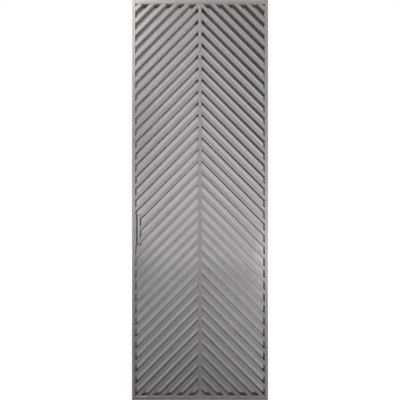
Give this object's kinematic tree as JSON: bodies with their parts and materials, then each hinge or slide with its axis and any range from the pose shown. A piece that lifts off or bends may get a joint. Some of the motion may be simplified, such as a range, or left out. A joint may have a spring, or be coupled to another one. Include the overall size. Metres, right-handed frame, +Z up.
{
  "type": "aluminium sliding door leaf",
  "caption": "Tall aluminium sliding door leaf with a slim frame, a herringbone grille of slanting bars over mirror on both faces, and a finger pull beside one stile.",
  "frame": {"origin": "middle of the underside of the bottom rail, on the mid-plane between the two faces", "axes": "+Z up the leaf, +X to the right as seen from the front, the front face looks along -Y"},
  "size_m": [0.85, 0.056, 2.5],
  "materials": {
    "frame_metal": "satin warm grey anodised",
    "grille_metal": "satin warm grey anodised",
    "mirror": "polished, lightly grey",
    "gasket": "matte black"
  },
  "bodies": {
    "root": {"left_stile": "frame_metal", "right_stile": "frame_metal", "top_rail": "frame_metal", "bottom_rail": "frame_metal", "front_mirror": "mirror", "back_mirror": "mirror", "front_left_gasket": "gasket", "front_right_gasket": "gasket", "front_top_gasket": "gasket", "front_bottom_gasket": "gasket", "back_left_gasket": "gasket", "back_right_gasket": "gasket", "back_top_gasket": "gasket", "back_bottom_gasket": "gasket", "front_mullion": "grille_metal", "front_pull": "grille_metal", "front_left_head_bars": "grille_metal", "front_left_full_bars": "grille_metal", "front_left_foot_bars": "grille_metal", "front_right_head_bars": "grille_metal", "front_right_full_bars": "grille_metal", "front_right_foot_bars": "grille_metal", "back_mullion": "grille_metal", "back_pull": "grille_metal", "back_left_head_bars": "grille_metal", "back_left_full_bars": "grille_metal", "back_left_foot_bars": "grille_metal", "back_right_head_bars": "grille_metal", "back_right_full_bars": "grille_metal", "back_right_foot_bars": "grille_metal"}
  },
  "joints": []
}
